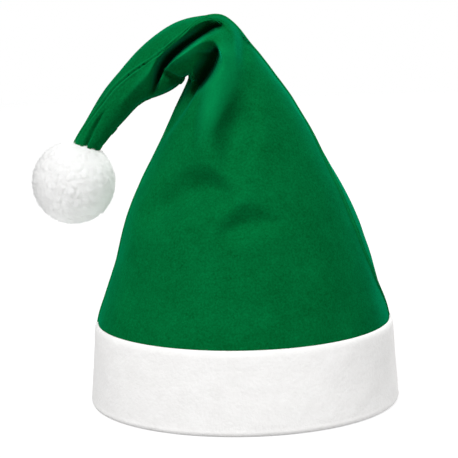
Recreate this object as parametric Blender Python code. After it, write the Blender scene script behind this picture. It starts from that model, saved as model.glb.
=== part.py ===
"""A felt elf hat that stands by itself: a pointed felt crown of two panels whose tip folds over to one side,
a turned-up plush cuff round the rim, and a plush pompom on the tip.

Metres, +Z up. The hat is seen from -Y, and the tip hangs towards -X.
"""
import math

import bmesh
import bpy
import numpy as np
from mathutils import Matrix, Vector

# Driving sizes
BASE_WIDTH = 0.2000        # across the cuff, side seam to side seam
BASE_DEPTH = 0.1840        # across the cuff, front to back
HAT_HEIGHT = 0.2500        # floor to the top of the fold
CUFF_HEIGHT = 0.0532
CUFF_TAPER = 0.0036        # how much narrower the cuff is at its top, each side
CUFF_TURN_UP = 0.040       # height of the plush layer inside the hat
PLUSH = 0.0022             # thickness of the cuff's outer layer
PLUSH_INSIDE = 0.0016      # thickness of the cuff's inner layer
CUFF_EDGE = 0.0010         # rounding of the cuff's outer edges
FELT = 0.0015              # thickness of the crown's panels
TIP_RADIUS = 0.0082        # radius of the crown's tip, where the pompom is sewn on
POMPOM_RADIUS = 0.0262     # over the locks of pile
LOCK_LENGTH = 0.0042
LOCK_TAPER = 0.62          # width of a lock's end as a share of its root
LOCK_UNEVENNESS = 0.15     # how much the locks differ in length
SOCKET_DEPTH = 0.0085      # how far the tip reaches into the pompom
CLEARANCE = 0.0003         # between the outer plush layer and the felt
CLEARANCE_INSIDE = 0.0004  # between the felt and the inner plush layer, and round the tip
SOCKET_FLARE = 0.0012      # how much wider the socket is at its mouth
SEAM_GAP = 0.0004          # between the two panels along each side seam

HALF_WIDTH = BASE_WIDTH / 2
OVAL = (BASE_WIDTH - BASE_DEPTH) / 2    # how much less the hat measures in depth, each side

ROWS = 40                  # rows of faces up the crown
COLUMNS = 24               # columns of faces round one panel
FOLD_STEPS = 24            # straight steps along a fold's curve
SOCKET_SIDES = 24
TINY = 1e-6

# Sections of the crown above the cuff. across, half_width and half_depth are shares of HALF_WIDTH, and up is a
# share of HAT_HEIGHT. tilt turns the section's outer side upwards, and seam turns the seam on that side to the
# front, both in degrees.
SECTION_COLUMNS = ("across", "up", "half_width", "half_depth", "tilt", "seam")
SECTIONS = (
    (0.004, 0.270, 0.905, 0.825, 0, 0),
    (0.008, 0.335, 0.852, 0.782, 0, 2),
    (0.008, 0.400, 0.798, 0.735, 0, 4),
    (0.006, 0.485, 0.725, 0.680, -1, 5),
    (0.002, 0.570, 0.635, 0.605, -1, 5),
    (-0.002, 0.650, 0.533, 0.530, -1, 5),
    (-0.008, 0.720, 0.440, 0.465, -1, 4),
    (-0.020, 0.775, 0.368, 0.410, 0, 2),
    (-0.037, 0.812, 0.312, 0.370, 3, 0),
    (-0.074, 0.848, 0.256, 0.340, 13, 0),
    (-0.118, 0.879, 0.218, 0.325, 28, 0),
    (-0.160, 0.906, 0.212, 0.320, 45, 0),
    (-0.210, 0.922, 0.212, 0.310, 58, 2),
    (-0.271, 0.921, 0.199, 0.290, 70, 6),
    (-0.336, 0.912, 0.193, 0.265, 83, 12),
    (-0.418, 0.895, 0.188, 0.235, 96, 18),
    (-0.505, 0.874, 0.176, 0.205, 105, 24),
    (-0.586, 0.854, 0.155, 0.175, 112, 28),
    (-0.664, 0.832, 0.127, 0.145, 119, 30),
    (-0.739, 0.803, 0.113, 0.125, 128, 30),
    (-0.812, 0.767, 0.104, 0.110, 138, 26),
    (-0.878, 0.733, 0.096, 0.098, 149, 20),
    (-0.935, 0.700, 0.090, 0.090, 156, 14),
)
TIP_ACROSS = -0.983        # where the tip enters the pompom, as in the sections
TIP_UP = 0.673
TIP_TILT = 160
RIM_SHARES = (0.0, 0.34, 0.67, 1.0)    # heights of the crown's sections inside the cuff, as shares of its height
TIP_SHARES = (0.0, 0.5, 1.0)           # places of the sections inside the pompom, as shares of SOCKET_DEPTH

FRONT = -1
BACK = 1
FOLD_FLOOR = 0.30          # a fold's bottom stays this share of the half depth off the crown's middle plane
FOLD_ENDS = 0.25           # share of a fold's curve over which it fades in, and again out
FACING = 0.30              # share of the half depth over which folds fade out towards the side seams

# Folds and dents of the crown, each along a curve from start past middle to end, all seen from the front.
# across is a share of HALF_WIDTH and up of HAT_HEIGHT. depth and the widths to the left and right of the curve
# are shares of HALF_WIDTH. Left is to the left of someone who walks along the curve. A negative depth stands
# proud. sharp goes from 0, a round bottom, to 1, a crease.
FOLD_COLUMNS = ("side", "start_across", "start_up", "middle_across", "middle_up", "end_across", "end_up",
                "depth", "left", "right", "sharp")
FOLDS = (
    # front ridge below the fold, and the pouch of felt beside it
    (FRONT, -0.07, 0.970, -0.090, 0.860, -0.240, 0.660, -0.050, 0.120, 0.120, 0.0),
    (FRONT, -0.08, 0.965, -0.300, 0.955, -0.450, 0.870, -0.045, 0.060, 0.080, 0.0),
    # long valley under the roll of the tip
    (FRONT, -0.04, 0.975, -0.380, 0.960, -0.620, 0.770, 0.160, 0.080, 0.110, 0.0),
    # deep pocket between pouch and ridge, and the step that runs from it to the side seam
    (FRONT, -0.09, 0.960, -0.120, 0.900, -0.290, 0.800, 0.190, 0.080, 0.160, 0.0),
    (FRONT, -0.15, 0.900, -0.220, 0.810, -0.520, 0.660, 0.060, 0.050, 0.120, 0.2),
    # lower lip of the pouch
    (FRONT, -0.46, 0.880, -0.360, 0.825, -0.120, 0.860, 0.050, 0.060, 0.100, 0.0),
    # dent below the top of the ridge
    (FRONT, 0.040, 0.880, 0.030, 0.800, -0.020, 0.690, 0.050, 0.120, 0.130, 0.0),
    # two dents across the front
    (FRONT, -0.600, 0.535, -0.200, 0.650, 0.000, 0.560, 0.060, 0.120, 0.080, 0.1),
    (FRONT, -0.160, 0.500, 0.050, 0.555, 0.300, 0.505, 0.050, 0.110, 0.080, 0.1),
    # crease near the tip
    (FRONT, -0.850, 0.780, -0.900, 0.740, -0.990, 0.665, 0.018, 0.030, 0.030, 0.3),
    # the same folds behind, softer: the valley, the pocket, a dent and the crease near the tip
    (BACK, -0.08, 0.970, -0.380, 0.945, -0.640, 0.760, 0.110, 0.070, 0.110, 0.1),
    (BACK, -0.12, 0.940, -0.180, 0.850, -0.340, 0.750, 0.130, 0.070, 0.150, 0.1),
    (BACK, -0.420, 0.560, -0.100, 0.640, 0.220, 0.600, 0.045, 0.110, 0.080, 0.1),
    (BACK, -0.840, 0.780, -0.900, 0.740, -0.980, 0.670, 0.014, 0.030, 0.030, 0.3),
)


def cuff_half_width(height):
    """Half the cuff's outer width at a height above the floor."""
    return HALF_WIDTH - CUFF_TAPER * height / CUFF_HEIGHT


def section_table():
    """Rows of centre x, centre z, half width, half depth, tilt and seam angle, from the rim to the tip."""
    rows = []
    for share in RIM_SHARES:
        height = PLUSH_INSIDE + CLEARANCE + share * (CUFF_HEIGHT - PLUSH_INSIDE - CLEARANCE)
        half = cuff_half_width(height) - PLUSH - CLEARANCE
        rows.append((0, height, half, half - OVAL, 0, 0))
    for across, up, half_width, half_depth, tilt, seam in SECTIONS:
        rows.append((across * HALF_WIDTH, up * HAT_HEIGHT, half_width * HALF_WIDTH, half_depth * HALF_WIDTH,
                     math.radians(tilt), math.radians(seam)))
    for share in TIP_SHARES:
        centre = tip_point(share * SOCKET_DEPTH)
        rows.append((centre.x, centre.z, TIP_RADIUS, TIP_RADIUS, math.radians(TIP_TILT), rows[-1][5]))
    return np.array(rows, float)


def tip_direction():
    """The way the tip points into the pompom."""
    tilt = math.radians(TIP_TILT)
    return Vector((-math.sin(tilt), 0, math.cos(tilt)))


def tip_point(depth):
    """The middle of the tip, this far inside the pompom."""
    return Vector((TIP_ACROSS * HALF_WIDTH, 0, TIP_UP * HAT_HEIGHT)) + depth * tip_direction()


def smooth_rows(table, steps):
    """The table's rows read at fractional row numbers, on a smooth curve through them."""
    last = len(table) - 1
    first = np.clip(np.floor(steps).astype(int), 0, last - 1)
    part = (steps - first)[:, None]
    before, start, end, after = (table[np.clip(first + k, 0, last)] for k in (-1, 0, 1, 2))
    return 0.5 * (2 * start + (end - before) * part + (2 * before - 5 * start + 4 * end - after) * part ** 2
                  + (3 * start - before - 3 * end + after) * part ** 3)


def row_places(table, rows, fine=20):
    """Fractional row numbers for the mesh's rows, closer together where the sections crowd."""
    steps = np.linspace(0, len(table) - 1, (len(table) - 1) * fine + 1)
    points = smooth_rows(table, steps)[:, :2]
    length = np.linalg.norm(np.diff(points, axis=0), axis=1)
    weight = np.concatenate(([0], np.cumsum(length ** 0.6)))
    return np.interp(np.linspace(0, weight[-1], rows + 1), weight, steps)


def smooth_step(value, low, high):
    """0 below low, 1 above high, with a smooth rise between."""
    share = np.clip((value - low) / (high - low), 0, 1)
    return share * share * (3 - 2 * share)


def fold_depth(x, z, fold):
    """How far a fold pushes in the crown's points at x and z."""
    row = dict(zip(FOLD_COLUMNS, fold))
    start, middle, end = (np.array((row[f"{name}_across"] * HALF_WIDTH, row[f"{name}_up"] * HAT_HEIGHT))
                          for name in ("start", "middle", "end"))
    share = np.linspace(0, 1, FOLD_STEPS + 1)[:, None]
    curve = (1 - share) ** 2 * start + 2 * share * (1 - share) * middle + share ** 2 * end
    steps = np.diff(curve, axis=0)
    from_start = np.stack((x, z), 1)[:, None] - curve[None, :-1]
    along = np.clip((from_start * steps).sum(2) / (steps ** 2).sum(1), 0, 1)
    away = from_start - along[:, :, None] * steps
    nearest = np.argmin((away ** 2).sum(2), axis=1)
    point = np.arange(len(x))
    step = steps[nearest]
    away = away[point, nearest]
    share = (nearest + along[point, nearest]) / len(steps)
    on_left = step[:, 0] * away[:, 1] - step[:, 1] * away[:, 0] > 0
    width = np.where(on_left, row["left"], row["right"]) * HALF_WIDTH
    reach = np.clip(np.linalg.norm(away, axis=1) / width, 0, 1)
    crease = (1 - reach) ** 2
    bowl = 0.5 + 0.5 * np.cos(np.pi * reach)
    ends = smooth_step(share, 0.0, FOLD_ENDS) * smooth_step(1 - share, 0.0, FOLD_ENDS)
    return row["depth"] * HALF_WIDTH * ends * (row["sharp"] * crease + (1 - row["sharp"]) * bowl)


def crown_outside(table, steps, angles):
    """Points of the crown's outer surface. Angle 0 is its outer side and half a turn the side below the fold."""
    x, z, half_width, half_depth, tilt, _ = smooth_rows(table, steps).T
    outwards = half_width * np.cos(angles)
    points = np.stack((x + outwards * np.cos(tilt), -half_depth * np.sin(angles), z + outwards * np.sin(tilt)), 1)
    off_middle = np.abs(points[:, 1])
    for side in (FRONT, BACK):
        depth = sum(fold_depth(points[:, 0], points[:, 2], fold) for fold in FOLDS if fold[0] == side)
        most = np.maximum(off_middle - FOLD_FLOOR * half_depth, TINY)
        inwards = np.where(depth > 0, most * np.tanh(depth / most), depth)
        facing = smooth_step(side * points[:, 1] / half_depth, 0.0, FACING)
        points[:, 1] -= side * facing * inwards
    return points


def crown_point(table, steps, angles, depth):
    """Points of the crown a depth below its outer surface."""
    step = 0.5
    turn = math.pi / COLUMNS
    along = crown_outside(table, steps + step, angles) - crown_outside(table, steps - step, angles)
    around = crown_outside(table, steps, angles + turn) - crown_outside(table, steps, angles - turn)
    normal = np.cross(along, around)
    normal /= np.linalg.norm(normal, axis=1)[:, None]
    return crown_outside(table, steps, angles) - normal * depth[:, None]


def make_material(name, colour, roughness):
    """A plain material with the piece's colour."""
    material = bpy.data.materials.new(name)
    material.use_nodes = True
    shader = material.node_tree.nodes["Principled BSDF"]
    shader.inputs["Base Color"].default_value = (*colour, 1)
    shader.inputs["Roughness"].default_value = roughness
    return material


def add_object(name, shape, material, collection):
    """Turn a bmesh into an object of the hat."""
    mesh = bpy.data.meshes.new(name)
    shape.to_mesh(mesh)
    shape.free()
    mesh.materials.append(material)
    thing = bpy.data.objects.new(name, mesh)
    collection.objects.link(thing)
    return thing


def make_panel(name, side, material, collection):
    """One felt panel of the crown: a flat slab of faces, wrapped round one side of the sections."""
    table = section_table()
    places = row_places(table, ROWS)
    shape = bmesh.new()
    bmesh.ops.create_grid(shape, x_segments=COLUMNS, y_segments=ROWS, size=0.5)
    inside = bmesh.ops.extrude_face_region(shape, geom=shape.faces[:], use_keep_orig=True)["geom"]
    for vert in inside:
        if isinstance(vert, bmesh.types.BMVert):
            vert.co.z = FELT
    bmesh.ops.recalc_face_normals(shape, faces=shape.faces)
    chart = np.array([vert.co for vert in shape.verts])
    steps = np.interp(chart[:, 1] + 0.5, np.linspace(0, 1, ROWS + 1), places)
    half_depth, seam = smooth_rows(table, steps)[:, (3, 5)].T
    half_gap = SEAM_GAP / 2 / half_depth
    start, end = (seam, math.pi) if side == FRONT else (math.pi, 2 * math.pi + seam)
    angles = start + half_gap + (chart[:, 0] + 0.5) * (end - start - 2 * half_gap)
    points = crown_point(table, steps, angles, chart[:, 2])
    for vert, point in zip(shape.verts, points):
        vert.co = point
    return add_object(name, shape, material, collection)


def make_cuff(material, collection):
    """The plush band, turned up round the crown's lower edge: a profile spun round, then squeezed to the oval."""
    outer_top = cuff_half_width(CUFF_HEIGHT)
    channel_floor = PLUSH_INSIDE
    channel_outer = outer_top - PLUSH
    floor_outer = cuff_half_width(channel_floor) - PLUSH
    felt_band = CLEARANCE + FELT + CLEARANCE_INSIDE
    turn_up = cuff_half_width(CUFF_TURN_UP) - PLUSH - felt_band
    profile = (
        (floor_outer - felt_band, channel_floor),
        (turn_up, CUFF_TURN_UP),
        (turn_up - PLUSH_INSIDE, CUFF_TURN_UP),
        (floor_outer - felt_band - PLUSH_INSIDE, channel_floor),
        (floor_outer - felt_band - PLUSH_INSIDE + CUFF_EDGE, 0),
        (HALF_WIDTH - CUFF_EDGE, 0),
        (HALF_WIDTH, CUFF_EDGE),
        (cuff_half_width(CUFF_HEIGHT - CUFF_EDGE), CUFF_HEIGHT - CUFF_EDGE),
        (outer_top - CUFF_EDGE, CUFF_HEIGHT),
        (channel_outer, CUFF_HEIGHT),
        (floor_outer, channel_floor),
    )
    shape = bmesh.new()
    ring = [shape.verts.new((radius, 0, height)) for radius, height in profile]
    edges = [shape.edges.new((ring[k], ring[(k + 1) % len(ring)])) for k in range(len(ring))]
    bmesh.ops.spin(shape, geom=ring + edges, cent=(0, 0, 0), axis=(0, 0, 1), angle=2 * math.pi,
                   steps=2 * COLUMNS, use_merge=True)
    for vert in shape.verts:
        radius = math.hypot(vert.co.x, vert.co.y)
        vert.co.y *= (radius - OVAL) / radius
    bmesh.ops.recalc_face_normals(shape, faces=shape.faces)
    return add_object("cuff", shape, material, collection)


def make_pompom(material, collection, cutters):
    """A ball with one lock of pile on each of its faces, and a socket for the crown's tip."""
    shape = bmesh.new()
    bmesh.ops.create_icosphere(shape, subdivisions=3, radius=POMPOM_RADIUS - LOCK_LENGTH)
    locks = bmesh.ops.extrude_discrete_faces(shape, faces=shape.faces[:])["faces"]
    for number, face in enumerate(locks):
        centre = face.calc_center_median()
        length = LOCK_LENGTH * (1 - LOCK_UNEVENNESS * (1 - math.sin(number)))
        for vert in face.verts:
            vert.co = centre + LOCK_TAPER * (vert.co - centre) + centre.normalized() * length
    middle = tip_point(POMPOM_RADIUS - LOCK_LENGTH / 4)
    bmesh.ops.translate(shape, vec=middle, verts=shape.verts)
    pompom = add_object("pompom", shape, material, collection)

    drill = bmesh.new()
    socket_end = SOCKET_DEPTH + CLEARANCE_INSIDE
    length = 2 * socket_end
    radius = TIP_RADIUS + CLEARANCE_INSIDE
    bmesh.ops.create_cone(drill, cap_ends=True, segments=SOCKET_SIDES, radius1=radius + SOCKET_FLARE, radius2=radius,
                          depth=length)
    turned = tip_direction().to_track_quat("Z", "Y").to_matrix().to_4x4()
    place = Matrix.Translation(tip_point(socket_end - length / 2)) @ turned
    bmesh.ops.transform(drill, matrix=place, verts=drill.verts)
    cutter = add_object("tip_socket", drill, material, cutters)
    cutter.hide_render = True
    cutter.display_type = "WIRE"
    cut = pompom.modifiers.new("socket", "BOOLEAN")
    cut.operation = "DIFFERENCE"
    cut.solver = "EXACT"
    cut.object = cutter
    return pompom


def stand_at_origin(pieces, others):
    """Put the middle of the hat's footprint box at the origin."""
    bpy.context.view_layer.update()
    reach = [corner[0] for piece in pieces for corner in piece.bound_box]
    middle = (min(reach) + max(reach)) / 2
    for thing in pieces + others:
        thing.location.x -= middle


def build():
    """Make the whole hat."""
    for thing in list(bpy.data.objects):
        bpy.data.objects.remove(thing)
    hat = bpy.data.collections.new("felt_elf_hat")
    cutters = bpy.data.collections.new("cutters")
    for collection in (hat, cutters):
        bpy.context.scene.collection.children.link(collection)
    green = make_material("green_felt", (0.002, 0.130, 0.036), 0.95)
    white = make_material("white_plush", (0.87, 0.87, 0.86), 1.0)
    pile = make_material("white_pile", (0.93, 0.93, 0.92), 1.0)
    make_panel("front_panel", FRONT, green, hat)
    make_panel("back_panel", BACK, green, hat)
    make_cuff(white, hat)
    make_pompom(pile, hat, cutters)
    stand_at_origin(list(hat.objects), list(cutters.objects))


build()
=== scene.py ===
"""A felt elf hat on a pale floor: a pointed green felt crown whose tip folds over to one side, a turned-up white
plush cuff round the rim and a white plush pompom on the tip.

Metres, +Z up. The hat is seen from -Y, and the tip hangs towards -X.
"""

import math
import random

import bmesh
import bpy
import numpy as np
from mathutils import Matrix, Vector, noise


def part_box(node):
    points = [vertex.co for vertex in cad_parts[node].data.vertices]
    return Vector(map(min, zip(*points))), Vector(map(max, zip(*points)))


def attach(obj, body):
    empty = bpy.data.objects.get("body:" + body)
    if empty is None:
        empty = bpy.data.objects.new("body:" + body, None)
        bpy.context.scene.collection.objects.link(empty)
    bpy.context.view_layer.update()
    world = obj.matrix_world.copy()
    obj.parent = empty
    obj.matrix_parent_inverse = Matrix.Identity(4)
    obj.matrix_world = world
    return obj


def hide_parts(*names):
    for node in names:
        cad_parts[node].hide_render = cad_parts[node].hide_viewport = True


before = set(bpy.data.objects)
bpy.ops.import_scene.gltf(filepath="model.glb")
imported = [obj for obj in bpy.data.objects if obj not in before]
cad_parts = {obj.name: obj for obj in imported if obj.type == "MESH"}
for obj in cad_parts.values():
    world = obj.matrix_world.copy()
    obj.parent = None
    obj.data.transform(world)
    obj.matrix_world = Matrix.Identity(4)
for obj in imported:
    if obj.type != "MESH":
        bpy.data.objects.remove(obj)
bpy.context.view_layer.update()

# Driving sizes, the same as the solids have
BASE_WIDTH = 0.2000
BASE_DEPTH = 0.1840
HAT_HEIGHT = 0.2500
CUFF_HEIGHT = 0.0532
CUFF_TAPER = 0.0036
CUFF_TURN_UP = 0.040
PLUSH = 0.0022
PLUSH_INSIDE = 0.0016
FELT = 0.0015
TIP_RADIUS = 0.0082
POMPOM_RADIUS = 0.0262
LOCK_LENGTH = 0.0042
SOCKET_DEPTH = 0.0085
CLEARANCE = 0.0003
CLEARANCE_INSIDE = 0.0004

# What differs from the solids
SEAM_GAP = 0.0001           # between the two felts at a seam
PILE_STAND = 0.0017         # how far the loose pile stands proud of the solid's locks

HALF_WIDTH = BASE_WIDTH / 2
OVAL = (BASE_WIDTH - BASE_DEPTH) / 2
TINY = 1e-6                 # keeps a division away from zero

# The middle of the rim, which is not the middle of the whole hat's box
RIM_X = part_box("cuff")[1][0] - HALF_WIDTH

# Sections of the crown above the cuff. Each row has the middle's place across and up, half the width, half the
# depth, and the turn of the section and of its seam in degrees. Up is a share of HAT_HEIGHT, and the other lengths
# are shares of HALF_WIDTH.
SECTIONS = (
    (0.004, 0.270, 0.905, 0.825, 0, 4),
    (0.008, 0.335, 0.852, 0.782, 0, 12),
    (0.008, 0.400, 0.798, 0.735, 0, 16),
    (0.006, 0.485, 0.725, 0.680, -1, 17),
    (0.002, 0.570, 0.635, 0.605, -1, 16),
    (-0.002, 0.650, 0.533, 0.530, -1, 12),
    (-0.008, 0.720, 0.440, 0.465, -1, 6),
    (-0.020, 0.775, 0.368, 0.410, 0, 2),
    (-0.037, 0.812, 0.312, 0.370, 3, 0),
    (-0.074, 0.848, 0.256, 0.340, 13, 0),
    (-0.118, 0.879, 0.218, 0.325, 28, 0),
    (-0.160, 0.906, 0.212, 0.320, 45, 0),
    (-0.210, 0.922, 0.212, 0.310, 58, 0),
    (-0.271, 0.921, 0.199, 0.290, 70, 12),
    (-0.336, 0.912, 0.193, 0.265, 83, 44),
    (-0.418, 0.895, 0.188, 0.235, 96, 60),
    (-0.505, 0.874, 0.176, 0.205, 105, 65),
    (-0.586, 0.854, 0.155, 0.175, 112, 65),
    (-0.664, 0.832, 0.127, 0.145, 119, 60),
    (-0.739, 0.803, 0.113, 0.125, 128, 54),
    (-0.812, 0.767, 0.104, 0.110, 138, 50),
    (-0.878, 0.733, 0.096, 0.098, 149, 42),
    (-0.935, 0.700, 0.090, 0.090, 156, 30),
)
TIP_ACROSS = -0.983
TIP_UP = 0.673
TIP_TILT = 160
RIM_SHARES = (0.0, 0.34, 0.67, 1.0)
TIP_SHARES = (0.0, 0.5, 1.0)

# The crown's mesh
ROWS = 224
ROW_SAMPLES = 20            # samples between two sections, by which the rows are spread
ROW_CROWDING = 0.6          # from 1, evenly spaced rows, to 0, as many rows between any two sections
COLUMNS = 192
SEAM_COLUMNS = 0.06         # share of the columns that the welt beside each seam gets
SEAM_ARC = 0.012            # share of the panel's width that these columns cover

# Folds of the felt. side is the panel, and points are the curve's (across, up). depth and the widths left and
# right of the curve are shares of HALF_WIDTH, and a depth below zero is a ridge. lean pulls the left lip over the
# fold. sharp goes from 0, a round bottom, to 1, a crease. fade_in and fade_out are the shares of the curve over
# which it begins and ends.
FRONT = -1
BACK = 1
FOLD_COLUMNS = ("side", "points", "depth", "left", "right", "lean", "sharp", "fade_in", "fade_out")
FOLDS = (
    # front ridge below the fold
    (FRONT, ((-0.09, 0.96), (-0.10, 0.91), (-0.13, 0.86), (-0.19, 0.79), (-0.24, 0.71), (-0.28, 0.64)),
     -0.095, 0.27, 0.13, 0.0, 0.0, 0.2, 0.5),
    # pouch of felt beside the front ridge
    (FRONT, ((-0.17, 0.945), (-0.25, 0.925), (-0.34, 0.90), (-0.44, 0.870)),
     -0.080, 0.06, 0.07, 0.0, 0.0, 0.30, 0.25),
    # long valley under the roll of the tip
    (FRONT, ((-0.085, 0.975), (-0.115, 0.971), (-0.158, 0.963), (-0.207, 0.953), (-0.257, 0.941), (-0.315, 0.926),
             (-0.365, 0.911), (-0.417, 0.892), (-0.460, 0.870), (-0.488, 0.847), (-0.520, 0.822), (-0.560, 0.795)),
     0.440, 0.030, 0.092, 0.028, 0.1, 0.12, 0.20),
    # deep pocket between pouch and front ridge
    (FRONT, ((-0.132, 0.932), (-0.124, 0.915), (-0.132, 0.896), (-0.154, 0.876), (-0.182, 0.858), (-0.212, 0.840),
             (-0.245, 0.821), (-0.290, 0.796)),
     0.400, 0.034, 0.125, 0.014, 0.0, 0.14, 0.25),
    # step along the front ridge's left edge, down to the side seam
    (FRONT, ((-0.230, 0.838), (-0.262, 0.815), (-0.300, 0.790), (-0.365, 0.753), (-0.420, 0.723), (-0.485, 0.690)),
     0.110, 0.018, 0.110, 0.012, 0.5, 0.30, 0.10),
    # lower lip of the pouch
    (FRONT, ((-0.450, 0.868), (-0.400, 0.855), (-0.350, 0.843), (-0.300, 0.835), (-0.240, 0.838)),
     0.120, 0.022, 0.090, 0.014, 0.4, 0.20, 0.30),
    # pinched line right of the front ridge, and the hollow beside it
    (FRONT, ((-0.055, 0.985), (-0.037, 0.968), (-0.024, 0.950), (-0.021, 0.929), (-0.020, 0.900), (-0.012, 0.860),
             (-0.004, 0.820)),
     -0.034, 0.020, 0.032, 0.0, 1.0, 0.12, 0.5),
    (FRONT, ((0.000, 0.972), (0.008, 0.950), (0.012, 0.925), (0.014, 0.900), (0.016, 0.870)),
     0.090, 0.190, 0.032, 0.0, 0.2, 0.25, 0.4),
    # broad dent below it, beside the front ridge
    (FRONT, ((0.045, 0.830), (0.022, 0.785), (-0.008, 0.740), (-0.036, 0.700), (-0.056, 0.665), (-0.064, 0.630),
             (-0.056, 0.590)),
     0.096, 0.280, 0.220, 0.0, 0.0, 0.35, 0.40),
    # two dents across the front, and the swelling between them
    (FRONT, ((-0.680, 0.465), (-0.560, 0.502), (-0.440, 0.535), (-0.330, 0.560), (-0.230, 0.572), (-0.150, 0.572),
             (-0.080, 0.565), (-0.020, 0.556)),
     0.122, 0.270, 0.130, 0.0, 0.0, 0.30, 0.30),
    (FRONT, ((-0.190, 0.466), (-0.070, 0.486), (0.050, 0.500), (0.170, 0.502), (0.320, 0.490)),
     0.072, 0.220, 0.120, 0.0, 0.0, 0.35, 0.4),
    (FRONT, ((-0.379, 0.545), (-0.253, 0.552), (-0.130, 0.560), (0.000, 0.565), (0.110, 0.570)),
     -0.030, 0.070, 0.080, 0.0, 0.0, 0.35, 0.35),
    # roll of the tail above the long valley
    (FRONT, ((-0.200, 0.968), (-0.300, 0.955), (-0.420, 0.925), (-0.530, 0.880), (-0.640, 0.830), (-0.760, 0.775)),
     -0.045, 0.080, 0.080, 0.0, 0.0, 0.25, 0.30),
    # crease near the tip
    (FRONT, ((-0.834, 0.773), (-0.867, 0.753), (-0.895, 0.732), (-0.922, 0.712), (-0.950, 0.691), (-0.985, 0.668)),
     0.035, 0.012, 0.045, 0.006, 0.6, 0.35, 0.02),
    # the same folds behind, softer
    (BACK, ((-0.08, 0.970), (-0.25, 0.945), (-0.40, 0.900), (-0.52, 0.840), (-0.62, 0.770)),
     0.130, 0.050, 0.110, 0.010, 0.2, 0.25, 0.25),
    (BACK, ((-0.12, 0.940), (-0.16, 0.890), (-0.23, 0.830), (-0.33, 0.760)),
     0.140, 0.050, 0.140, 0.010, 0.2, 0.3, 0.3),
    (BACK, ((-0.42, 0.560), (-0.25, 0.600), (-0.05, 0.610), (0.20, 0.590)),
     0.045, 0.110, 0.080, 0.0, 0.1, 0.3, 0.3),
    (BACK, ((-0.84, 0.780), (-0.90, 0.735), (-0.98, 0.670)),
     0.016, 0.020, 0.035, 0.0, 0.4, 0.3, 0.05),
)
FOLD_STEPS = 36             # straight steps of a fold's curve
FOLD_END_WIDTH = 0.40       # width of a fold at its ends as a share of its width
FOLD_FLOOR = {FRONT: 0.09, BACK: 0.25}     # how near the middle plane a fold may come, by the half depth
FACING = 0.16               # how far off the middle plane a fold has its whole depth, as a share of the half depth
LEAN_FACING = 0.50          # the same for the lean of its lip
LEAN_REACH = 4              # how far the lean reaches past the curve, in widths of the fold
CREST_HIGHLIGHT_HEIGHTS = (0.0, 0.09)      # fold heights between which a painted highlight makes the felt lighter
FOLD_SHADE_DEPTHS = (0.15, 0.36)     # fold depths between which painted shade makes the felt darker

# Softening of the felt's sharpest corners
RELAX_STEPS = 4
RELAX_SHARE = 0.7           # how far a point goes towards the middle of its neighbours in a step

# Soft unevenness of the felt, and the welt on both sides of a seam
FELT_WAVES = ((0.050, 0.0014), (0.020, 0.00050), (0.008, 0.00012))    # (size, height)
WELT_PLACE = 0.0014
WELT_WIDTH = 0.0008
WELT_HEIGHT = 0.0009
SEAM_SINK = 0.0003
SEAM_SINK_WIDTH = 0.0005


def cuff_half_width(height):
    """Half the cuff's outer width at a height above the floor."""
    return HALF_WIDTH - CUFF_TAPER * height / CUFF_HEIGHT


def tip_direction():
    """The way the tip points into the pompom."""
    tilt = math.radians(TIP_TILT)
    return Vector((-math.sin(tilt), 0, math.cos(tilt)))


def tip_point(depth):
    """The middle of the tip, this far inside the pompom."""
    return Vector((RIM_X + TIP_ACROSS * HALF_WIDTH, 0, TIP_UP * HAT_HEIGHT)) + depth * tip_direction()


def section_table():
    """Rows of centre x, centre z, half width, half depth, tilt and seam angle, from the rim to the tip."""
    rows = []
    for share in RIM_SHARES:
        height = PLUSH_INSIDE + CLEARANCE + share * (CUFF_HEIGHT - PLUSH_INSIDE - CLEARANCE)
        half = cuff_half_width(height) - PLUSH - CLEARANCE
        rows.append((RIM_X, height, half, half - OVAL, 0, 0))
    for across, up, half_width, half_depth, tilt, seam in SECTIONS:
        rows.append((RIM_X + across * HALF_WIDTH, up * HAT_HEIGHT, half_width * HALF_WIDTH,
                     half_depth * HALF_WIDTH, math.radians(tilt), math.radians(seam)))
    for share in TIP_SHARES:
        centre = tip_point(share * SOCKET_DEPTH)
        rows.append((centre.x, centre.z, TIP_RADIUS, TIP_RADIUS, math.radians(TIP_TILT), rows[-1][5]))
    return np.array(rows, float)


def smooth_rows(table, steps):
    """The table's rows read at fractional row numbers, on a smooth curve through them."""
    last = len(table) - 1
    first = np.clip(np.floor(steps).astype(int), 0, last - 1)
    part = (steps - first)[:, None]
    before, start, end, after = (table[np.clip(first + k, 0, last)] for k in (-1, 0, 1, 2))
    return 0.5 * (2 * start + (end - before) * part + (2 * before - 5 * start + 4 * end - after) * part ** 2
                  + (3 * start - before - 3 * end + after) * part ** 3)


def row_places(table):
    """Fractional row numbers for the mesh's rows, closer together where the sections crowd."""
    steps = np.linspace(0, len(table) - 1, (len(table) - 1) * ROW_SAMPLES + 1)
    points = smooth_rows(table, steps)[:, :2]
    length = np.linalg.norm(np.diff(points, axis=0), axis=1)
    weight = np.concatenate(([0], np.cumsum(length ** ROW_CROWDING)))
    return np.interp(np.linspace(0, weight[-1], ROWS + 1), weight, steps)


def smooth_step(value, low, high):
    """0 below low, 1 above high, with a smooth rise between."""
    share = np.clip((value - low) / (high - low), 0, 1)
    return share * share * (3 - 2 * share)


def unit(vectors):
    """The vectors at length 1."""
    return vectors / np.maximum(np.linalg.norm(vectors, axis=-1, keepdims=True), TINY ** 2)


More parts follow.
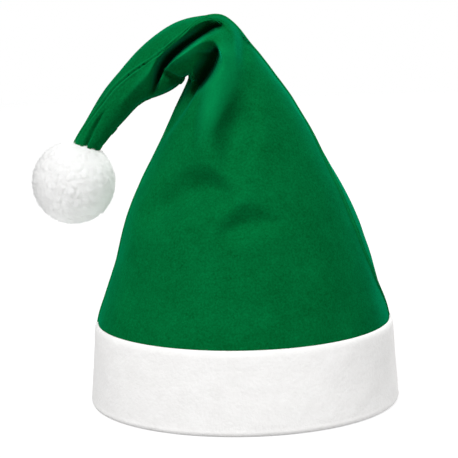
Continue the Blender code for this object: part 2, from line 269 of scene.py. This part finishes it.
def fold_push(x, z, row):
    """How far a fold pushes in the crown's points at x and z, and how far its lip pulls them along x and z."""
    knots = np.array(row["points"]) * (HALF_WIDTH, HAT_HEIGHT) + (RIM_X, 0)
    curve = smooth_rows(knots, np.linspace(0, len(knots) - 1, FOLD_STEPS + 1))
    steps = np.diff(curve, axis=0)
    from_start = np.stack((x, z), 1)[:, None] - curve[None, :-1]
    along = np.clip((from_start * steps).sum(2) / (steps ** 2).sum(1), 0, 1)
    away = from_start - along[:, :, None] * steps
    nearest = np.argmin((away ** 2).sum(2), axis=1)
    point = np.arange(len(x))
    step = steps[nearest]
    away = away[point, nearest]
    share = (nearest + along[point, nearest]) / len(steps)
    on_left = step[:, 0] * away[:, 1] - step[:, 1] * away[:, 0] > 0
    distance = np.linalg.norm(away, axis=1)
    wide = smooth_step(share, 0.0, 2 * row["fade_in"]) * smooth_step(1 - share, 0.0, 2 * row["fade_out"])
    wide = FOLD_END_WIDTH + (1 - FOLD_END_WIDTH) * wide
    reach = distance / (np.where(on_left, row["left"], row["right"]) * HALF_WIDTH * wide)
    within = np.clip(reach, 0, 1)
    bowl = 0.5 + 0.5 * np.cos(np.pi * within)
    ends = smooth_step(share, 0.0, row["fade_in"]) * smooth_step(1 - share, 0.0, row["fade_out"])
    push = row["depth"] * HALF_WIDTH * ends * (row["sharp"] * (1 - within) ** 2 + (1 - row["sharp"]) * bowl)
    pull = np.where(on_left, smooth_step(reach, 0, 1) * smooth_step(LEAN_REACH - reach, 0, LEAN_REACH - 1), 0)
    pull = -unit(away) * (row["lean"] * HALF_WIDTH * ends * pull)[:, None]
    return push, pull


def crown_outside(table, steps, angles):
    """Points of the crown's outer surface, and from 0 to 1 how deep each lies in a fold and how high up a ridge,
    which set its painted shade and painted highlight.

    Angle 0 is the crown's outer side, and half a turn is the side below the fold.
    """
    x, z, half_width, half_depth, tilt, _ = smooth_rows(table, steps).T
    outwards = half_width * np.cos(angles)
    points = np.stack((x + outwards * np.cos(tilt), -half_depth * np.sin(angles), z + outwards * np.sin(tilt)), 1)
    off_middle = np.abs(points[:, 1])
    fold_shade = np.zeros(len(points))
    crest_highlight = np.zeros(len(points))
    for side in (FRONT, BACK):
        rows = [dict(zip(FOLD_COLUMNS, fold)) for fold in FOLDS if fold[0] == side]
        depth = np.zeros(len(points))
        pulls = np.zeros((len(points), 2))
        for row in rows:
            push, pull = fold_push(points[:, 0], points[:, 2], row)
            depth += push
            pulls += pull
        most = np.maximum(off_middle - FOLD_FLOOR[side] * half_depth, TINY)
        inwards = np.where(depth > 0, most * np.tanh(depth / most), depth)
        off_seam = side * points[:, 1] / half_depth
        pull_share = smooth_step(off_seam, 0.0, LEAN_FACING)
        facing = smooth_step(off_seam, 0.0, FACING)
        points[:, 1] -= side * facing * inwards
        # painted shade: the felt's colour darker deep in the folds, where shade falls
        fold_shade += facing * smooth_step(depth / HALF_WIDTH, *FOLD_SHADE_DEPTHS)
        # painted highlight: the felt's colour lighter up on the ridges, where light falls
        crest_highlight += facing * smooth_step(-depth / HALF_WIDTH, *CREST_HIGHLIGHT_HEIGHTS)
        points[:, 0] += pull_share * pulls[:, 0]
        points[:, 2] += pull_share * pulls[:, 1]
    return points, fold_shade, crest_highlight


def relax(grid):
    """The grid with its sharpest corners softened, as felt can't be creased. Its rims and seams stay."""
    for _ in range(RELAX_STEPS):
        inner = grid[1:-1, 1:-1]
        around = grid[:-2, 1:-1] + grid[2:, 1:-1] + grid[1:-1, :-2] + grid[1:-1, 2:]
        inner += RELAX_SHARE * (around / 4 - inner)
    return grid


def grid_normals(grid):
    """Outward directions at the points of a grid that runs from rim to tip and round one panel."""
    return unit(np.cross(np.gradient(grid, axis=0), np.gradient(grid, axis=1)))


def felt_relief(grid):
    """How far the felt stands out at a grid's points, and from 0 to 1 where the welts beside its seams are, which
    is also where a painted highlight goes.
    """
    height = np.zeros(grid.shape[:2])
    for size, amount in FELT_WAVES:
        scaled = grid.reshape(-1, 3) / size
        height += amount * np.array([noise.noise(point) for point in scaled]).reshape(height.shape)
    spacing = np.linalg.norm(np.diff(grid, axis=1), axis=2)
    along = np.concatenate((np.zeros((len(grid), 1)), np.cumsum(spacing, axis=1)), axis=1)
    off_seam = np.minimum(along, along[:, -1:] - along)
    welt_and_highlight = np.exp(-((off_seam - WELT_PLACE) / WELT_WIDTH) ** 2)
    height += WELT_HEIGHT * welt_and_highlight
    height -= SEAM_SINK * np.exp(-(off_seam / SEAM_SINK_WIDTH) ** 2)
    # the welt mask raises the felt and also places a painted highlight along the seams
    return height, welt_and_highlight


def new_object(name, shape, material):
    """Turn a bmesh into a smooth object."""
    mesh = bpy.data.meshes.new(name)
    shape.to_mesh(mesh)
    shape.free()
    mesh.materials.append(material)
    thing = bpy.data.objects.new(name, mesh)
    bpy.context.scene.collection.objects.link(thing)
    return thing


def make_panel(name, side, material):
    """One felt panel of the crown: a flat slab of faces, wrapped round one side of the sections."""
    table = section_table()
    shape = bmesh.new()
    bmesh.ops.create_grid(shape, x_segments=COLUMNS, y_segments=ROWS, size=0.5)
    inside = bmesh.ops.extrude_face_region(shape, geom=shape.faces[:], use_keep_orig=True)["geom"]
    for vert in inside:
        if isinstance(vert, bmesh.types.BMVert):
            vert.co.z = FELT
    bmesh.ops.recalc_face_normals(shape, faces=shape.faces)
    for face in shape.faces:
        face.smooth = abs(face.normal.z) > 0.5
    steps = row_places(table)
    half_depth, seam = smooth_rows(table, steps)[:, (3, 5)].T
    half_gap = (SEAM_GAP / 2 / half_depth)[:, None]
    start, end = (seam[:, None], math.pi) if side == FRONT else (math.pi, 2 * math.pi + seam[:, None])
    shares = np.interp(np.linspace(0, 1, COLUMNS + 1), (0, SEAM_COLUMNS, 1 - SEAM_COLUMNS, 1),
                       (0, SEAM_ARC, 1 - SEAM_ARC, 1))
    angles = start + half_gap + shares[None, :] * (end - start - 2 * half_gap)
    points, fold_shade, crest_highlight = crown_outside(table, np.repeat(steps, COLUMNS + 1), angles.ravel())
    grid = relax(points.reshape(ROWS + 1, COLUMNS + 1, 3))
    normals = grid_normals(grid)
    height, welt_and_highlight = felt_relief(grid)
    grid = grid + normals * height[:, :, None]
    normals = grid_normals(grid)
    # masks for painted shade in the folds and painted highlights on the ridges and welts
    painted_light_masks = {"fold_shade": fold_shade.reshape(height.shape), "crest_highlight": crest_highlight.reshape(height.shape), "welt_and_highlight": welt_and_highlight}
    layers = [(shape.verts.layers.float.new(place), share) for place, share in painted_light_masks.items()]
    for vert in shape.verts:
        row = round((vert.co.y + 0.5) * ROWS)
        column = round((vert.co.x + 0.5) * COLUMNS)
        for layer, share in layers:
            vert[layer] = share[row, column]
        vert.co = grid[row, column] - normals[row, column] * vert.co.z
    return new_object(name, shape, material)


# The cuff's mesh
CUFF_STEPS = 360
CUFF_LIP = (0.0019, 0.0045)      # how far the rounding of the top edge reaches, across and down
CUFF_FOOT = (0.0022, 0.0030)     # the same for the edge it stands on, across and up
INNER_LIP = (0.0004, 0.0006)     # the same for the inner layer's top edge
INNER_FOOT = ((0.0, 0.0016), (0.0004, 0.0004), (0.0014, 0.0))     # (across, up) points of its foot
CHANNEL_LIP = 0.0004             # how far below the top the channel between the layers begins
FOOT_STEPS = 8
SIDE_STEPS = 44
LIP_STEPS = 12
INNER_STEPS = 15
CUFF_WAVES = ((0.030, 0.0005), (0.009, 0.00022), (0.0025, 0.00007))     # (size, height)
WAVES_FACING = 0.3               # the waves are on faces that look outwards by more than this
WAVES_FOOT = 0.001               # height at which they begin
WAVES_FADE = 0.008               # height at which they are whole


def cuff_profile():
    """The cuff's section as (radius, height) points, from the outer layer's foot to the inner layer's foot."""
    outer = []
    foot_across, foot_up = CUFF_FOOT
    lip_across, lip_down = CUFF_LIP
    for share in np.linspace(0, 1, FOOT_STEPS + 1):
        turn = share * math.pi / 2
        outer.append((HALF_WIDTH - foot_across * (1 - math.sin(turn)), foot_up * (1 - math.cos(turn))))
    for height in np.linspace(foot_up, CUFF_HEIGHT - lip_down, SIDE_STEPS + 1)[1:-1]:
        outer.append((cuff_half_width(height), height))
    for share in np.linspace(0, 1, LIP_STEPS + 1):
        turn = share * math.pi / 2
        height = CUFF_HEIGHT - lip_down * (1 - math.sin(turn))
        outer.append((cuff_half_width(height) - lip_across * (1 - math.cos(turn)), height))
    felt_band = CLEARANCE + FELT + CLEARANCE_INSIDE
    channel_top = (cuff_half_width(CUFF_HEIGHT) - PLUSH, CUFF_HEIGHT - CHANNEL_LIP)
    channel_foot = cuff_half_width(PLUSH_INSIDE) - PLUSH
    turn_up = cuff_half_width(CUFF_TURN_UP) - PLUSH - felt_band
    inner = [channel_top]
    inner += [(channel_foot - share * felt_band, PLUSH_INSIDE) for share in (0.0, 1.0)]
    edge_across, edge_down = INNER_LIP
    inner += [(turn_up, CUFF_TURN_UP - edge_down), (turn_up - edge_across, CUFF_TURN_UP),
              (turn_up - PLUSH_INSIDE + edge_across, CUFF_TURN_UP),
              (turn_up - PLUSH_INSIDE, CUFF_TURN_UP - edge_down)]
    foot_inside = channel_foot - felt_band - PLUSH_INSIDE
    for share in np.linspace(0, 1, INNER_STEPS + 1)[1:]:
        height = CUFF_TURN_UP - edge_down + share * (INNER_FOOT[0][1] - CUFF_TURN_UP + edge_down)
        inner.append((turn_up - PLUSH_INSIDE + share * (foot_inside - turn_up + PLUSH_INSIDE), height))
    inner += [(foot_inside + across, up) for across, up in INNER_FOOT[1:]]
    return outer + inner


def make_cuff(material):
    """The plush band: its section spun round, then squeezed to the rim's oval and made slightly uneven."""
    shape = bmesh.new()
    ring = [shape.verts.new((radius, 0, height)) for radius, height in cuff_profile()]
    edges = [shape.edges.new((ring[k], ring[(k + 1) % len(ring)])) for k in range(len(ring))]
    bmesh.ops.spin(shape, geom=ring + edges, cent=(0, 0, 0), axis=(0, 0, 1), angle=2 * math.pi,
                   steps=CUFF_STEPS, use_merge=True)
    for vert in shape.verts:
        radius = math.hypot(vert.co.x, vert.co.y)
        vert.co.y *= (radius - OVAL) / radius
    bmesh.ops.recalc_face_normals(shape, faces=shape.faces)
    for face in shape.faces:
        face.smooth = True
    shape.normal_update()
    for vert in shape.verts:
        outwards = Vector((vert.co.x, vert.co.y * BASE_WIDTH / BASE_DEPTH, 0)).normalized()
        if vert.normal.dot(outwards) > WAVES_FACING and vert.co.z > WAVES_FOOT:
            fade = min(1, vert.co.z / WAVES_FADE)
            height = sum(amount * noise.noise(vert.co / size) for size, amount in CUFF_WAVES)
            vert.co += vert.normal * height * fade
    bmesh.ops.translate(shape, vec=(RIM_X, 0, 0), verts=shape.verts)
    return new_object("cuff_plush", shape, material)


# The pompom's pile
PILE_SEED = 7
BALL_DIVISIONS = 6
CLUMP_SIZE = 0.0052          # size of the clumps that the pile gathers in
CLUMP_HEIGHT = 0.0007
CLUMP_EDGE = 0.9             # how far inside its edge a clump has its whole height, as a share of its size
CLUMP_WANDER = 0.35          # how uneven the clumps' outlines are
CURLS = ((0.0035, 0.00018), (0.0018, 0.00006))     # (size, height)
TUFT_SHARE = 0.45            # share of the faces with a tuft on them
TUFT_ROOT = 0.00022          # how far a tuft's root stays inside its face
TUFT_LENGTH = (0.0004, 0.0013)
TUFT_LEAN = 0.40             # how far a tuft's end may lean, as a share of its length
TUFT_END = 0.20              # width of a tuft's end as a share of its root


def clump_rise(distance):
    """0 at the edge of a clump, rising to 1 on its top."""
    share = min(1, distance / CLUMP_EDGE)
    return share * (2 - share)


def make_pompom(material):
    """A soft ball of pile: low clumps with fine curls on them, and short thin tufts that lean all ways."""
    shape = bmesh.new()
    ball_radius = POMPOM_RADIUS + PILE_STAND - TUFT_LENGTH[1]
    bmesh.ops.create_icosphere(shape, subdivisions=BALL_DIVISIONS, radius=ball_radius)
    bmesh.ops.recalc_face_normals(shape, faces=shape.faces)
    noise.seed_set(PILE_SEED)
    for vert in shape.verts:
        outwards = vert.co.normalized()
        place = outwards * POMPOM_RADIUS
        wander = noise.noise_vector(place / CLUMP_SIZE) * CLUMP_WANDER
        near, next_near = noise.voronoi(place / CLUMP_SIZE + wander)[0][:2]
        height = CLUMP_HEIGHT * (clump_rise(next_near - near) - 1)
        height += sum(amount * noise.noise(place / size) for size, amount in CURLS)
        vert.co = outwards * (ball_radius + height)
    random.seed(PILE_SEED)
    chosen = [face for face in shape.faces if random.random() < TUFT_SHARE]
    bmesh.ops.inset_individual(shape, faces=chosen, thickness=TUFT_ROOT, use_even_offset=True)
    for face in bmesh.ops.extrude_discrete_faces(shape, faces=chosen)["faces"]:
        centre = face.calc_center_median()
        length = random.uniform(*TUFT_LENGTH)
        lean = Vector([random.uniform(-TUFT_LEAN, TUFT_LEAN) for _ in range(3)])
        end = centre + (centre.normalized() + lean) * length
        for vert in face.verts:
            vert.co = end + TUFT_END * (vert.co - centre)
    for face in shape.faces:
        face.smooth = True
    bmesh.ops.translate(shape, vec=tip_point(POMPOM_RADIUS - LOCK_LENGTH / 4), verts=shape.verts)
    return new_object("pompom_pile", shape, material)


# Surfaces: linear colours, and the sizes of their patches, strokes and grain
FELT_DARK = (0.0006, 0.088, 0.018)
FELT_LIGHT = (0.0012, 0.185, 0.048)
FELT_SHEEN = (0.0, 0.80, 0.42, 1)
FELT_PATCH = 0.022
FELT_STROKE = 0.0045
FELT_GRAIN = 0.0012
FELT_PAINTED_LIGHT = (              # (place on the felt, share of its colour, colour), for painted highlights and painted shade
    # painted highlight, light green on the ridges
    ("crest_highlight", 0.42, (0.0022, 0.330, 0.104, 1)),
    # painted shade, dark green deep in the folds
    ("fold_shade", 1.0, (0.0005, 0.028, 0.006, 1)),
    # painted highlight, light green along the welts beside the seams
    ("welt_and_highlight", 0.40, (0.003, 0.280, 0.078, 1)),
)
PLUSH_DARK = (0.83, 0.82, 0.81)
PLUSH_LIGHT = (0.92, 0.915, 0.91)
PLUSH_PATCH = 0.010
PLUSH_GRAIN = 0.0022
PILE_DARK = (0.85, 0.85, 0.845)
PILE_LIGHT = (0.90, 0.90, 0.895)
PILE_PATCH = 0.006
PILE_CURL = 0.0016
SHADE_ENDS = (0.2, 0.8)      # noise values that give the dark and the light colour


def add_node(tree, kind, settings=None, **inputs):
    """A shader node. An input is a socket to link from, or a plain value."""
    made = tree.nodes.new(kind)
    for name, value in (settings or {}).items():
        setattr(made, name, value)
    for name, value in inputs.items():
        socket = made.inputs[name.replace("_", " ")]
        if isinstance(value, bpy.types.NodeSocket):
            tree.links.new(value, socket)
        else:
            socket.default_value = value
    return made


def new_material(name, **values):
    """A Principled material, and its tree, shader and object coordinates."""
    material = bpy.data.materials.new(name)
    material.use_nodes = True
    tree = material.node_tree
    shader = tree.nodes["Principled BSDF"]
    for socket, value in values.items():
        shader.inputs[socket.replace("_", " ")].default_value = value
    place = add_node(tree, "ShaderNodeTexCoord").outputs["Object"]
    return material, tree, shader, place


def cloud(tree, place, size, detail=2.0, rough=0.55, stretch=None, turn=(0, 0, 0)):
    """Soft noise with spots of about this size in metres."""
    if stretch:
        place = add_node(tree, "ShaderNodeMapping", Vector=place, Scale=stretch, Rotation=turn).outputs["Vector"]
    made = add_node(tree, "ShaderNodeTexNoise", Vector=place, Scale=1 / size, Detail=detail, Roughness=rough)
    return made.outputs["Fac"]


def weigh(tree, *pairs):
    """The sum of noises, each times its weight, about 0.5."""
    total = None
    for value, weight in pairs:
        part = add_node(tree, "ShaderNodeMath", {"operation": "MULTIPLY_ADD"})
        tree.links.new(value, part.inputs[0])
        part.inputs[1].default_value = weight
        if total is None:
            part.inputs[2].default_value = 0.5 - 0.5 * sum(amount for _, amount in pairs)
        else:
            tree.links.new(total, part.inputs[2])
        total = part.outputs["Value"]
    return total


def shade(tree, factor, dark, light):
    """A colour between dark and light."""
    ramp = add_node(tree, "ShaderNodeValToRGB", Fac=factor)
    for stop, position, colour in zip(ramp.color_ramp.elements, SHADE_ENDS, (dark, light)):
        stop.position = position
        stop.color = (*colour, 1)
    return ramp.outputs["Color"]


def felt_material():
    """Green felt: a brushed nap that lies in soft patches, with a fine grain of fibres, painted highlights on the
    ridges and along the seams, and painted shade deep in the folds.
    """
    material, tree, shader, place = new_material(
        "green_felt", Roughness=1.0, Specular_IOR_Level=0.0, Sheen_Weight=0.35, Sheen_Roughness=0.35,
        Sheen_Tint=FELT_SHEEN)
    patches = cloud(tree, place, FELT_PATCH, detail=4.0)
    strokes = cloud(tree, place, FELT_STROKE, detail=2.0, stretch=(0.45, 1, 1), turn=(0, 0.5, 0))
    grain = cloud(tree, place, FELT_GRAIN, detail=3.0, rough=0.7)
    factor = weigh(tree, (patches, 0.40), (strokes, 0.25), (grain, 1.10))
    nap = shade(tree, factor, FELT_DARK, FELT_LIGHT)
    # painted highlights and painted shade mixed into the felt's colour
    for name, share, colour in FELT_PAINTED_LIGHT:
        amount = add_node(tree, "ShaderNodeAttribute", {"attribute_name": name}).outputs["Fac"]
        part = add_node(tree, "ShaderNodeMath", {"operation": "MULTIPLY"})
        tree.links.new(amount, part.inputs[0])
        part.inputs[1].default_value = share
        mix = add_node(tree, "ShaderNodeMixRGB", Fac=part.outputs["Value"], Color1=nap, Color2=colour)
        nap = mix.outputs["Color"]
    tree.links.new(nap, shader.inputs["Base Color"])
    fibres = weigh(tree, (grain, 0.6), (strokes, 0.4))
    bump = add_node(tree, "ShaderNodeBump", Strength=0.5, Distance=0.0005, Height=fibres)
    tree.links.new(bump.outputs["Normal"], shader.inputs["Normal"])
    return material


def plush_material():
    """White brushed plush, with the pile lying in soft patches."""
    material, tree, shader, place = new_material(
        "white_plush", Roughness=0.95, Specular_IOR_Level=0.10, Sheen_Weight=0.15, Sheen_Roughness=0.5)
    patches = cloud(tree, place, PLUSH_PATCH, detail=3.0)
    pile = cloud(tree, place, PLUSH_GRAIN, detail=3.0)
    factor = weigh(tree, (patches, 0.5), (pile, 0.5))
    tree.links.new(shade(tree, factor, PLUSH_DARK, PLUSH_LIGHT), shader.inputs["Base Color"])
    bump = add_node(tree, "ShaderNodeBump", Strength=0.5, Distance=0.0006, Height=pile)
    tree.links.new(bump.outputs["Normal"], shader.inputs["Normal"])
    return material


def pile_material():
    """White pile of the pompom, with fine curls."""
    material, tree, shader, place = new_material("white_pile", Roughness=1.0, Specular_IOR_Level=0.0)
    factor = cloud(tree, place, PILE_PATCH, detail=2.0)
    tree.links.new(shade(tree, factor, PILE_DARK, PILE_LIGHT), shader.inputs["Base Color"])
    curls = cloud(tree, place, PILE_CURL, detail=3.0)
    bump = add_node(tree, "ShaderNodeBump", Strength=0.25, Distance=0.0006, Height=curls)
    tree.links.new(bump.outputs["Normal"], shader.inputs["Normal"])
    return material


# Camera, floor and light
CAMERA_AIM = Vector((RIM_X - 0.00823, 0, 0.11187))
CAMERA_DISTANCE = 1.25
CAMERA_HEIGHT_ANGLE = math.radians(10.858)
CAMERA_ROLL = math.radians(-1.276)
LENS = 152.683
SENSOR = 36
FLOOR_REACH = 1.6
FLOOR_GREY = (0.30, 0.30, 0.30, 1)
FLOOR_GLOW = 0.76            # keeps the floor pale in the picture
FLOOR_BOUNCE = (0.52, 0.52, 0.52, 1)     # what the floor throws back on the hat
ROOM_LIGHT = 0.26
WALL_LIGHT = 1.0             # the pale wall behind the hat

# Softboxes as (name, place, size, watts). Some reach only the cuff, only the pompom, or both.
STUDIO_LIGHTS = (
    ("key_light", (-0.60, -1.10, 1.80), 0.6, 35),
    ("fill_light", (1.1, -1.0, 0.7), 0.9, 2.5),
    ("back_light", (0.75, 1.25, 1.45), 0.9, 22),
)
CUFF_LIGHTS = (
    ("plush_light_left", (-0.85, -1.3, 0.30), 0.9, 3.8),
)
PLUSH_LIGHTS = (
    ("plush_light_right", (1.5, -0.5, 0.35), 0.9, 6),
    ("plush_light_back", (0, 1.5, 0.4), 0.9, 6),
)
POMPOM_LIGHTS = (
    ("pompom_light", (1.0, 0.15, 0.10), 0.5, 6.0),
    ("pompom_card", (-0.12, -0.06, 0.02), 0.10, 0.09),
)


def add_camera():
    """The camera at the photograph's angle."""
    lens = bpy.data.cameras.new("camera")
    lens.lens = LENS
    lens.sensor_width = SENSOR
    camera = bpy.data.objects.new("camera", lens)
    bpy.context.scene.collection.objects.link(camera)
    ahead = Vector((0, math.cos(CAMERA_HEIGHT_ANGLE), -math.sin(CAMERA_HEIGHT_ANGLE)))
    turned = ahead.to_track_quat("-Z", "Y").to_matrix().to_4x4() @ Matrix.Rotation(CAMERA_ROLL, 4, "Z")
    camera.matrix_world = Matrix.Translation(CAMERA_AIM - ahead * CAMERA_DISTANCE) @ turned
    bpy.context.scene.camera = camera


def add_softbox(name, place, size, power):
    """A square soft light that faces the hat."""
    light = bpy.data.lights.new(name, "AREA")
    light.size = size
    light.energy = power
    thing = bpy.data.objects.new(name, light)
    thing.location = place
    thing.rotation_euler = (CAMERA_AIM - Vector(place)).to_track_quat("-Z", "Y").to_euler()
    bpy.context.scene.collection.objects.link(thing)
    return thing


def add_studio():
    """A pale floor, soft light all round, and softboxes in front and behind."""
    shape = bmesh.new()
    bmesh.ops.create_grid(shape, x_segments=1, y_segments=1, size=FLOOR_REACH)
    material, tree, shader, _ = new_material("pale_floor", Roughness=0.9, Specular_IOR_Level=0.0)
    shader.inputs["Base Color"].default_value = FLOOR_GREY
    shader.inputs["Emission Color"].default_value = (1, 1, 1, 1)
    shader.inputs["Emission Strength"].default_value = FLOOR_GLOW
    bounce = add_node(tree, "ShaderNodeBsdfDiffuse", Color=FLOOR_BOUNCE)
    seen = add_node(tree, "ShaderNodeLightPath")
    mix = add_node(tree, "ShaderNodeMixShader", Fac=seen.outputs["Is Camera Ray"])
    tree.links.new(bounce.outputs["BSDF"], mix.inputs[1])
    tree.links.new(shader.outputs["BSDF"], mix.inputs[2])
    tree.links.new(mix.outputs["Shader"], tree.nodes["Material Output"].inputs["Surface"])
    floor = new_object("floor", shape, material)

    world = bpy.data.worlds.new("studio")
    world.use_nodes = True
    tree = world.node_tree
    tree.nodes.clear()
    room = add_node(tree, "ShaderNodeBackground", Color=(1, 1, 1, 1), Strength=ROOM_LIGHT)
    wall = add_node(tree, "ShaderNodeBackground", Color=(1, 1, 1, 1), Strength=WALL_LIGHT)
    seen = add_node(tree, "ShaderNodeLightPath")
    mix = add_node(tree, "ShaderNodeMixShader", Fac=seen.outputs["Is Camera Ray"])
    tree.links.new(room.outputs["Background"], mix.inputs[1])
    tree.links.new(wall.outputs["Background"], mix.inputs[2])
    out = add_node(tree, "ShaderNodeOutputWorld")
    tree.links.new(mix.outputs["Shader"], out.inputs["Surface"])
    bpy.context.scene.world = world
    bpy.context.scene.view_settings.view_transform = "Standard"

    for softbox in STUDIO_LIGHTS:
        add_softbox(*softbox)


def light_only(pieces, softboxes):
    """Softboxes that light these pieces alone, and are shaded by them alone."""
    lit = bpy.data.collections.new("lit_" + pieces[0].name)
    for piece in pieces:
        lit.objects.link(piece)
    for softbox in softboxes:
        light = add_softbox(*softbox)
        light.light_linking.receiver_collection = lit
        light.light_linking.blocker_collection = lit
        light.visible_camera = False


add_camera()
add_studio()
felt = felt_material()
plush = plush_material()
pile = pile_material()

front = make_panel("front_felt", FRONT, felt)
back = make_panel("back_felt", BACK, felt)
cuff = make_cuff(plush)
pompom = make_pompom(pile)

for piece, node, slot in ((front, "front_panel", "green_felt"), (back, "back_panel", "green_felt"),
                          (cuff, "cuff", "white_plush"), (pompom, "pompom", "white_pile")):
    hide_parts(node)
    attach(piece, "root")

light_only((cuff,), CUFF_LIGHTS)
light_only((cuff, pompom), PLUSH_LIGHTS)
light_only((pompom,), POMPOM_LIGHTS)
